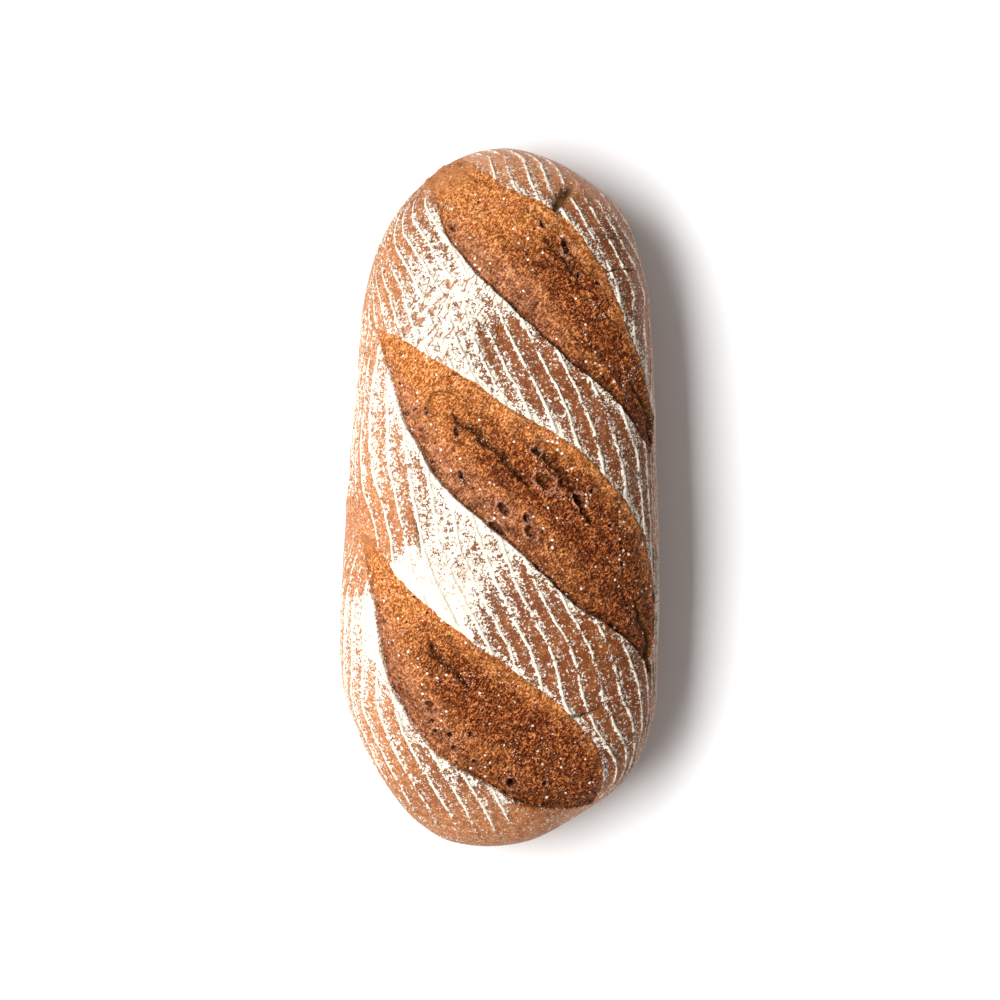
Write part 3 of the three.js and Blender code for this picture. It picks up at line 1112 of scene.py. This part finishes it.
def slash_colour(sheet, place, colours):
    """Sandy floor of a slash: golden where it begins, red-brown further on, with painted shade in its middle
    valley and in hollows, pits, holes and creases, and a painted sheen under its lip and on bubble rims.
    """
    fine, _ = grains_of(sheet, place, SLASH_SAND)
    middle, blotch = grains_of(sheet, place, SLASH_LUMPS)
    sand = sheet.plus(sheet.times(fine, 0.5), sheet.times(middle, 0.25))
    threads = sheet.stretched(sheet.turned(place, ACROSS_SLASHES), 0.3, 1.0, 1.0)
    threads = sheet.soft(sheet.noise(threads, SLASH_THREADS, 3.0, 0.65), 0.35, 0.65)
    grain = sheet.plus(sand, sheet.times(threads, 0.25))
    grain = sheet.soft(grain, 0.26, 0.73)
    streaky = sheet.stretched(sheet.turned(place, ALONG_SLASHES), 0.14, 1.0, 1.0)
    streak = sheet.soft(sheet.noise(streaky, SLASH_STREAKS, 3.0), 0.35, 0.65)
    along, across = sheet.field("along"), sheet.field("across")

    # Painted shade: the floor's middle valley turns towards the darker end colours; it is lighter towards the
    # upper edge.
    painted_valley_shade = sheet.times(sheet.soft(across, 0.25, 0.55), sheet.soft(across, 1.0, 0.7))
    painted_valley_shade = sheet.times(painted_valley_shade, sheet.soft(along, 0.15, 0.5))
    tone = sheet.plus(sheet.times(along, 0.75), sheet.times(painted_valley_shade, 0.52))
    tone = sheet.plus(tone, sheet.times(sheet.minus(blotch, 0.5), 0.25))
    tone = sheet.minus(tone, sheet.soft(across, 0.72, 1.0, 0.0, 0.3))
    tone = sheet.soft(tone, 0.02, 0.8)
    stops = [(0.0, colours.start_dark), (0.5, colours.start_middle), (1.0, colours.start_light)]
    start = sheet.steps(grain, stops)
    stops = [(0.0, colours.end_dark), (0.6, colours.end_middle), (1.0, colours.end_light)]
    end = sheet.steps(grain, stops)
    floor = sheet.blend(tone, start, end)

    # Painted sheen on the band under a slash's lip, in the pinkish highlight colour.
    painted_sheen = sheet.times(sheet.soft(along, 0.08, 0.2), sheet.soft(along, 0.75, 0.4))
    painted_sheen = sheet.times(sheet.soft(across, 0.45, 0.1), painted_sheen)
    floor = sheet.blend(sheet.times(painted_sheen, grain, 0.6), floor, colours.painted_sheen)
    floor = sheet.blend(sheet.times(streak, sheet.soft(across, 0.3, 0.05), 0.55), floor, colours.end_dark)
    shade = sheet.soft(sheet.noise(place, SLASH_SHADE, 4.0, 0.65), 0.42, 0.66)
    floor = sheet.blend(sheet.times(shade, sheet.soft(along, 0.05, 0.4), 0.44), floor, colours.end_dark)
    # Painted shade: pits, bubble hollows and creases darken towards the deep colour.
    deep = sheet.most(sheet.field("pit"), sheet.times(sheet.field("hollow"), 0.7))
    deep = sheet.most(sheet.times(deep, 0.9), sheet.times(sheet.field("crease"), 0.8))
    floor = sheet.blend(sheet.times(deep, sheet.soft(grain, 1.0, 0.3, 0.5, 1.0)), floor, colours.deep)

    # Painted highlight on the rims of open bubbles.
    lit = sheet.times(sheet.field("rim"), sheet.soft(grain, 0.1, 0.6), 0.8)
    floor = sheet.blend(lit, floor, colours.painted_sheen)

    # Painted shade: small holes filled with the deep colour.
    hole = sheet.soft(sheet.chance(place, HOLE_SPACING), 0.84, 0.86)
    hole_gap = sheet.cells(place, HOLE_SPACING)
    hole = sheet.times(hole, sheet.soft(hole_gap, 0.2, 0.13), sheet.soft(along, 0.03, 0.1))
    floor = sheet.blend(hole, floor, colours.deep)
    crumb = sheet.chance(place, CRUMB_SPACING)
    crumb_place = sheet.soft(sheet.noise(place, CRUMBY_PLACES, 2.0), 0.42, 0.6, 0.12, 1.0)
    crumb_gap = sheet.cells(place, CRUMB_SPACING)
    crumb = sheet.times(sheet.soft(crumb, 0.84, 0.86), crumb_place, sheet.soft(crumb_gap, 0.34, 0.22))
    floor = sheet.blend(sheet.soft(crumb, 0.3, 0.5), floor, colours.flour)
    floor = sheet.blend(sheet.soft(along, 0.09, 0.0), floor, golden_skin(sheet, fine, blotch, colours))
    return floor, grain, hole


def crust_material(colours, crust):
    """Floured skin, the browner floors of the slashes, and the sole."""
    material, sheet = blank_material("baked_crust")
    place = sheet.position()
    skin, floured, ridge = skin_colour(sheet, place, colours, crust)
    floor, grain, hole = slash_colour(sheet, place, colours)
    fine, blotch = grains_of(sheet, place, CRUST_GRAIN)
    relief = sheet.noise(place, CRUST_RELIEF, 4.0, 0.7)

    cut = sheet.plus(sheet.field("edge"), sheet.times(sheet.minus(relief, 0.5), RAGGED_EDGE))
    is_floor = sheet.times(sheet.soft(cut, *EDGE_COLOURS), sheet.soft(sheet.field("top"), 0.05, 0.4))
    colour = sheet.blend(is_floor, skin, floor)
    crumb = sheet.blend(fine, colours.tear, colours.deep)
    colour = sheet.blend(sheet.field("tear"), colour, crumb)

    sole = sheet.field("sole")
    sole_colour = sheet.blend(blotch, colours.sole, colours.skin_dark)
    dust = sheet.soft(sheet.plus(fine, sheet.times(blotch, 0.35)), 1.0, 1.1)
    colour = sheet.blend(sole, colour, sheet.blend(sheet.times(dust, 0.7), sole_colour, colours.flour))

    dry = sheet.times(floured, sheet.flip(is_floor))
    roughness = sheet.plus(sheet.soft(dry, 0.0, 1.0, 0.5, 0.92), sheet.times(sheet.minus(grain, 0.5), 0.16))
    skin_height = sheet.plus(sheet.plus(sheet.times(relief, 1.3), sheet.times(dry, 0.5)), ridge)
    floor_height = sheet.minus(sheet.plus(sheet.times(relief, 2.0), sheet.times(grain, 0.5)), hole)
    height = sheet.plus(sheet.times(skin_height, sheet.flip(is_floor)), sheet.times(floor_height, is_floor))
    finish_material(sheet, colour, roughness, DULL, height, colours.bump_height)
    return material


def flour_material(colours):
    """Lumps of loose flour."""
    material, sheet = blank_material("loose_flour")
    fine, _ = grains_of(sheet, sheet.position(), LUMP_GRAIN)
    colour = sheet.blend(sheet.times(fine, 0.7), colours.flour, colours.flour_shade)
    finish_material(sheet, colour, 0.95, DULL, fine, FLOUR_BUMP)
    return material


def floor_material(colour):
    """Plain paper."""
    material, sheet = blank_material("studio_floor")
    finish_material(sheet, opaque(colour), 0.9, specular=0.0)
    return material


# ---------------------------------------------------------------------------------------------------
# Settings
# ---------------------------------------------------------------------------------------------------


def number(label, about, value, **more):
    return FloatProperty(name=label, description=about, default=value, **more)


def whole(label, about, value):
    return IntProperty(name=label, description=about, default=value)


def distance(label, about, value):
    return number(label, about, value, unit="LENGTH", subtype="DISTANCE", precision=5)


def share(label, about, value):
    return number(label, about, value, subtype="FACTOR", min=0.0, max=1.0)


def angle(label, about, degrees):
    return number(label, about, math.radians(degrees), subtype="ANGLE")


def paint(label, about, value):
    more = {"subtype": "COLOR", "size": 3, "min": 0.0, "max": 1.0}
    return FloatVectorProperty(name=label, description=about, default=value, **more)


class LoafShape(bpy.types.PropertyGroup):
    """The loaf's smooth form and what the slashes do to it."""

    spacing: distance("Skin Spacing", "Distance between the skin's points before thinning", 0.0005)
    side_spacing: distance("Side Spacing", "The same, low on the sides", 0.0011)
    most_faces: whole("Most Triangles", "The skin is thinned to this many", 190000)
    crest_half_length: distance("Crest Half Length", "Beyond this the crest rounds down to the ends", 0.072)
    crest_fall: share("Crest Fall", "How much lower the crest is there, as a share of its height", 0.14)
    corner_at: distance("Corner", "Distance from the middle where the sides turn into the ends", 0.112)
    widest_height: distance("Widest Height", "Height at which the sides bulge furthest", 0.036)
    shoulder_height: distance("Shoulder Height", "The sides climb towards this height", 0.070)
    shoulder_share: share("Shoulder Share", "Out to this share of half the width the top stays high", 0.6)
    flare_share: share("Flare Share", "The side swings out this far just above the sole", 0.93)
    sole_share: share("Sole Share", "The flat sole, as a share of the widest outline", 0.8)
    bloom_depth: distance("Slash Depth", "How far an opened slash sinks at its lower edge", 0.0022)
    crease_depth: distance("Crease Depth", "How much deeper the crease under the lip is", 0.0009)
    lip_height: distance("Lip Height", "How far the skin curls up along a slash's lower edge", 0.0010)
    rim_height: distance("Rim Height", "How far it stands up along the upper edge", 0.0005)
    strip_turn: angle("Strip Turn", "How far the slashes turned the strips between them", 27)
    start_pull: distance("Start Pull", "How far each slash's start pulled the rings inwards", 0.006)
    ring_stretch: number("Ring Stretch", "Length of the rings' ovals over the outline's", 1.9)
    end_lean: distance("End Lean", "How far aside the rings lean at the loaf's ends", 0.026)
    ring_pitch: distance("Ring Pitch", "Distance between the basket's canes", 0.0087)


class LoafCrust(bpy.types.PropertyGroup):
    """The relief on the skin and in the slashes."""

    ring_height: distance("Ring Height", "How far the flour rings stand up", 0.0008)
    ring_width: share("Ring Width", "Half width of a ring as a share of the pitch", 0.11)
    skin_grain_size: distance("Skin Grain Size", "Size of the skin's fine lumps", 0.0018)
    skin_grain_height: distance("Skin Grain Height", "Their height", 0.0004)
    crack_size: distance("Crack Size", "Distance between the cracks in thick flour", 0.0034)
    crack_depth: distance("Crack Depth", "Depth of those cracks", 0.00035)
    fold_size: distance("Fold Size", "Width of the folds in a slash's floor", 0.005)
    fold_height: distance("Fold Height", "Their height", 0.0042)
    bloom_grain_size: distance("Slash Grain Size", "Size of the sandy grain in a slash", 0.0015)
    bloom_grain_height: distance("Slash Grain Height", "Its height", 0.0010)
    pit_spacing: distance("Pit Spacing", "Distance between gas holes", 0.0036)
    pit_depth: distance("Pit Depth", "Their depth", 0.0012)
    seed: whole("Seed", "Changes the random folds, pits and grain of the crust", 4)


class LoafFlour(bpy.types.PropertyGroup):
    """The lumps of loose flour."""

    count_per_area: number("Count", "Lumps per square metre at full cover", 1.6e6)
    grain_size: distance("Grain Size", "Radius of the largest lumps", 0.00042)
    seed: whole("Seed", "Changes where the lumps lie", 11)


class LoafColours(bpy.types.PropertyGroup):
    """Colours of crust, slashes and flour."""

    skin_light: paint("Skin", "Golden skin under the flour", (0.34, 0.10, 0.018))
    skin_dark: paint("Dark Skin", "Browner blotches of it", (0.13, 0.026, 0.0035))
    # Golden skin: bare at the slashes' starts; along the left and at the ends partly bare skin and partly
    # painted light of the lit side.
    golden: paint("Golden Skin", "Bare skin on the left and at the slashes' starts", (0.64, 0.26, 0.10))
    side: paint("Side", "Smooth lower side", (0.50, 0.22, 0.09))
    sole: paint("Sole", "Baked underside", (0.22, 0.085, 0.03))
    flour: paint("Flour", "Flour baked onto the skin", (0.88, 0.82, 0.71))
    flour_shade: paint("Flour Shade", "Toasted flour", (0.74, 0.58, 0.42))
    veil: share("Veil", "How much a film of flour greys the skin between its grains", 0.08)
    start_dark: paint("Start Dark", "Dark grains where a slash begins", (0.26, 0.06, 0.009))
    start_middle: paint("Start Middle", "Its colour there", (0.52, 0.145, 0.026))
    start_light: paint("Start Light", "Light grains there", (0.90, 0.43, 0.16))
    end_dark: paint("End Dark", "Dark grains further on", (0.03, 0.0035, 0.0004))
    end_middle: paint("End Middle", "The floor's colour further on", (0.225, 0.037, 0.003))
    end_light: paint("End Light", "Light grains further on", (0.64, 0.235, 0.072))
    # Painted sheen: a pinkish highlight painted on the band under a slash's lip, on bubble rims and along the
    # skin's upper rim towards the right.
    painted_sheen: paint("Painted Sheen", "The paler band under a slash's lip", (0.64, 0.30, 0.19))
    # Deep: painted shade for hollows, pits, holes and creases; also the dark grains inside tears.
    deep: paint("Deep", "Hollows and holes", (0.03, 0.006, 0.001))
    tear: paint("Tear", "Inside a tear", (0.34, 0.16, 0.05))
    bump_height: distance("Bump Height", "Height of the finest grain", 0.0004)


class LoafStudio(bpy.types.PropertyGroup):
    """Floor, lights and camera."""

    floor_size: distance("Floor Size", "Side of the floor", 12.0)
    floor_colour: paint("Floor Colour", "Paper under the loaf", (0.92, 0.92, 0.92))
    key_power: number("Key Power", "Of the large lamp on the left", 30.0, unit="POWER")
    key_width: distance("Key Width", "How wide that lamp looks across the loaf", 0.6)
    key_length: distance("Key Length", "How long it is along the loaf", 1.2)
    key_distance: distance("Key Distance", "How far off it stands", 1.3)
    key_height: angle("Key Angle", "Angle above the floor", 60)
    sky: number("Sky", "Brightness of the white room", 0.26)
    camera_height: distance("Camera Height", "Above the loaf's widest line", 1.25)
    view_width: distance("View Width", "What the camera sees at that line", 0.45)
    view_x: distance("View Centre X", "Where it looks", 0.000225)
    view_y: distance("View Centre Y", "Where it looks", -0.001125)


# ---------------------------------------------------------------------------------------------------
# Operators
# ---------------------------------------------------------------------------------------------------


def scene_object(name, mesh):
    """A new object in the scene."""
    obj = bpy.data.objects.new(name, mesh)
    bpy.context.scene.collection.objects.link(obj)
    return obj


def vertex_places(mesh):
    """The places of a mesh's points, one to a row."""
    places = np.empty(len(mesh.vertices) * 3, np.float32)
    mesh.vertices.foreach_get("co", places)
    return places.reshape(-1, 3)


def put_places(mesh, places):
    """Moves a mesh's points to their new places."""
    mesh.vertices.foreach_set("co", places.astype(np.float32).ravel())
    mesh.update()


def thin(obj, most):
    """Thins a mesh to at most so many triangles, keeping the sharp places."""
    mesh = obj.data
    count = sum(len(face.vertices) - 2 for face in mesh.polygons)
    if count > most:
        modifier = obj.modifiers.new("thin", "DECIMATE")
        modifier.ratio = most / count
        modifier.use_collapse_triangulate = True
        depsgraph = bpy.context.evaluated_depsgraph_get()
        obj.data = bpy.data.meshes.new_from_object(obj.evaluated_get(depsgraph))
        obj.modifiers.clear()


def fit_to_solid(mesh):
    """Scales the skin a little, so that its box is the solid's box."""
    places = vertex_places(mesh)
    low, high = places.min(0), places.max(0)
    put_places(mesh, (places - low) * (HIGH - LOW) / (high - low) + LOW)


class LOAF_OT_skin(bpy.types.Operator):
    """Build the loaf's crust around its solid"""

    bl_idname = "loaf.skin"
    bl_label = "Loaf"

    def execute(self, context):
        scene = context.scene
        material = crust_material(scene.loaf_colours, scene.loaf_crust)
        base = scene_object("loaf_base", skin_mesh(scene.loaf_shape))
        inputs = tree_inputs(scene.loaf_crust, material)
        mesh = grow(base, relief_tree(inputs), inputs, "loaf_crust")
        bpy.data.objects.remove(base)
        loaf = scene_object("loaf_crust", mesh)
        thin(loaf, scene.loaf_shape.most_faces)
        loaf.data.name = "loaf_crust"
        fit_to_solid(loaf.data)
        loaf.data.shade_smooth()
        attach(loaf, BODY)
        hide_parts(CAD_NODE)
        return {"FINISHED"}


class LOAF_OT_flour(bpy.types.Operator):
    """Strew lumps of loose flour over the finished crust"""

    bl_idname = "loaf.flour"
    bl_label = "Loose Flour"

    def execute(self, context):
        scene = context.scene
        crust = bpy.data.objects["loaf_crust"]
        material = flour_material(scene.loaf_colours)
        inputs = tree_inputs(scene.loaf_flour, material)
        ground = scene_object("flour_ground", crust.data.copy())
        mesh = grow(ground, grain_tree(inputs), inputs, "flour_grains")
        bpy.data.objects.remove(ground)
        grains = scene_object("flour_grains", mesh)
        put_places(grains.data, np.clip(vertex_places(grains.data), LOW, HIGH))
        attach(grains, BODY)
        return {"FINISHED"}


class LOAF_OT_studio(bpy.types.Operator):
    """Lay the floor, and set up the lights and the camera"""

    bl_idname = "loaf.studio"
    bl_label = "Studio"

    def execute(self, context):
        scene = context.scene
        studio = scene.loaf_studio
        half = studio.floor_size / 2
        mesh = bpy.data.meshes.new("studio_floor")
        corners = [(-half, -half, 0), (half, -half, 0), (half, half, 0), (-half, half, 0)]
        mesh.from_pydata(corners, [], [(0, 1, 2, 3)])
        floor = scene_object("studio_floor", mesh)
        mesh.materials.append(floor_material(studio.floor_colour))

        lamp = bpy.data.lights.new("key", "AREA")
        lamp.energy = studio.key_power
        lamp.shape = "RECTANGLE"
        lamp.size = studio.key_width
        lamp.size_y = studio.key_length
        key = bpy.data.objects.new("key", lamp)
        scene.collection.objects.link(key)
        angle = studio.key_height
        key.location = (-studio.key_distance * math.cos(angle), 0, studio.key_distance * math.sin(angle))
        key.rotation_euler = (0, angle - math.pi / 2, 0)

        world = bpy.data.worlds.new("white_room")
        world.use_nodes = True
        background = world.node_tree.nodes["Background"]
        background.inputs["Color"].default_value = (1.0, 1.0, 1.0, 1.0)
        background.inputs["Strength"].default_value = studio.sky
        scene.world = world

        eye = bpy.data.cameras.new("camera")
        camera = bpy.data.objects.new("camera", eye)
        scene.collection.objects.link(camera)
        eye.lens = eye.sensor_width * studio.camera_height / studio.view_width
        eye_height = scene.loaf_shape.widest_height + studio.camera_height
        camera.location = (studio.view_x, studio.view_y, eye_height)
        scene.camera = camera
        scene.view_settings.view_transform = "Standard"
        return {"FINISHED"}


class LOAF_PT_panel(bpy.types.Panel):
    """Everything that builds the loaf"""

    bl_idname = "LOAF_PT_panel"
    bl_label = "Hearth Loaf"
    bl_space_type = "VIEW_3D"
    bl_region_type = "UI"
    bl_category = "Loaf"

    def draw(self, context):
        for operator in (LOAF_OT_skin, LOAF_OT_flour, LOAF_OT_studio):
            self.layout.operator(operator.bl_idname)
        for name in SETTINGS:
            group = getattr(context.scene, name)
            box = self.layout.box()
            for setting in settings_of(group):
                box.prop(group, setting.identifier)


SETTINGS = {
    "loaf_shape": LoafShape,
    "loaf_crust": LoafCrust,
    "loaf_flour": LoafFlour,
    "loaf_colours": LoafColours,
    "loaf_studio": LoafStudio,
}
CLASSES = (*SETTINGS.values(), LOAF_OT_skin, LOAF_OT_flour, LOAF_OT_studio, LOAF_PT_panel)


def register():
    for kind in CLASSES:
        bpy.utils.register_class(kind)
    for name, group in SETTINGS.items():
        setattr(bpy.types.Scene, name, PointerProperty(type=group))


def unregister():
    for name in SETTINGS:
        delattr(bpy.types.Scene, name)
    for kind in reversed(CLASSES):
        bpy.utils.unregister_class(kind)


def main():
    register()
    bpy.ops.loaf.skin()
    bpy.ops.loaf.flour()
    bpy.ops.loaf.studio()


if __name__ == "__main__":
    main()
